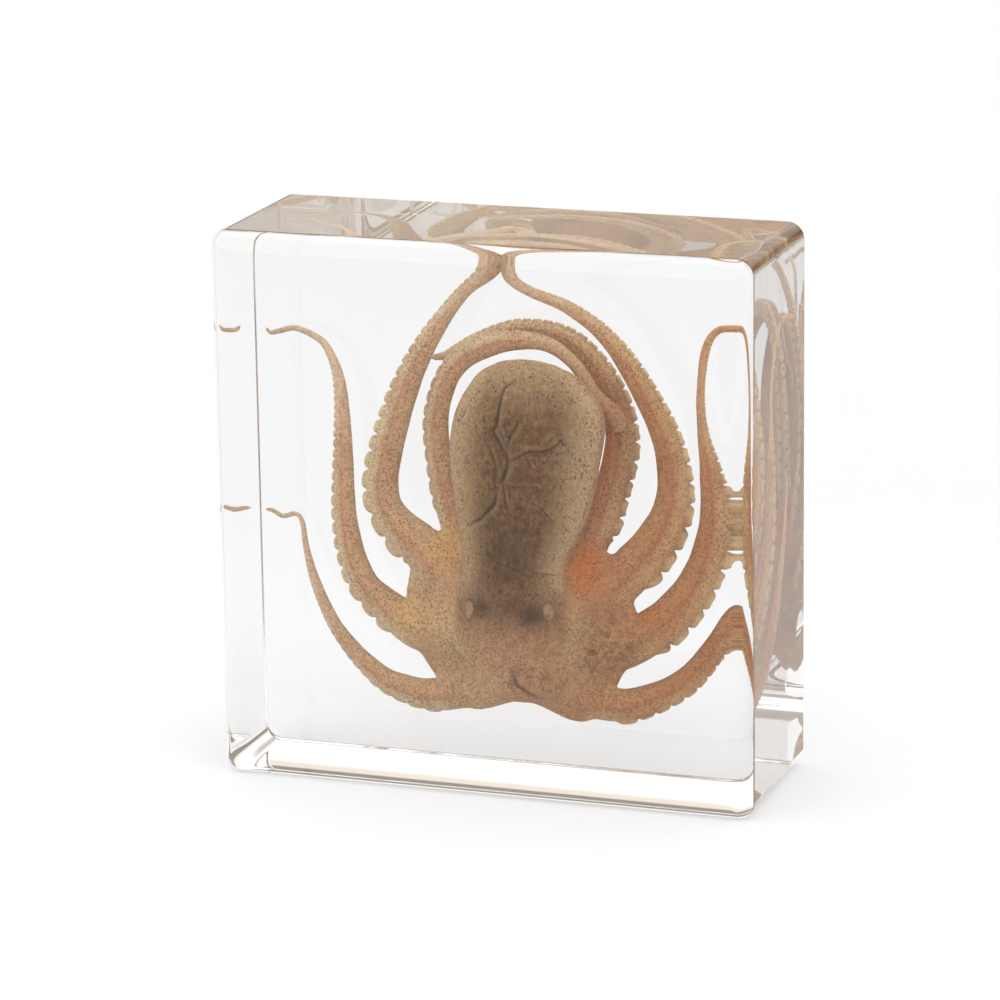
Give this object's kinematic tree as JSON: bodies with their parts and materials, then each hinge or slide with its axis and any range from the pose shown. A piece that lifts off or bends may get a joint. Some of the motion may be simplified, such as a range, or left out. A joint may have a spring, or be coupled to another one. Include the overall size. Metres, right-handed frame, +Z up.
{
  "type": "octopus in resin block",
  "caption": "Square block of clear cast resin with rounded edges, standing on its narrow side, with a small preserved octopus sealed inside, arms spread and curled upwards.",
  "frame": {"origin": "middle of the block's bottom face, on the surface that it stands on", "axes": "+Z up, towards the top of the octopus's mantle; -Y out of the broad face that is looked through; +X to the right seen from there"},
  "size_m": [0.0744, 0.026, 0.075],
  "materials": {
    "clear_resin": "clear polished cast resin, refractive index about 1.49",
    "mantle_skin": "preserved skin, grey-brown with fine creases and dark speckles",
    "arm_skin": "preserved skin, tan to orange-brown with a fine dark stipple and paler suckers"
  },
  "bodies": {
    "root": {"resin_front": "clear_resin", "resin_back": "clear_resin", "octopus_body": "mantle_skin", "arm_left_low": "arm_skin", "arm_left_outer": "arm_skin", "arm_left_middle": "arm_skin", "arm_left_inner": "arm_skin", "arm_right_inner": "arm_skin", "arm_right_middle": "arm_skin", "arm_right_outer": "arm_skin", "arm_right_low": "arm_skin"}
  },
  "joints": []
}
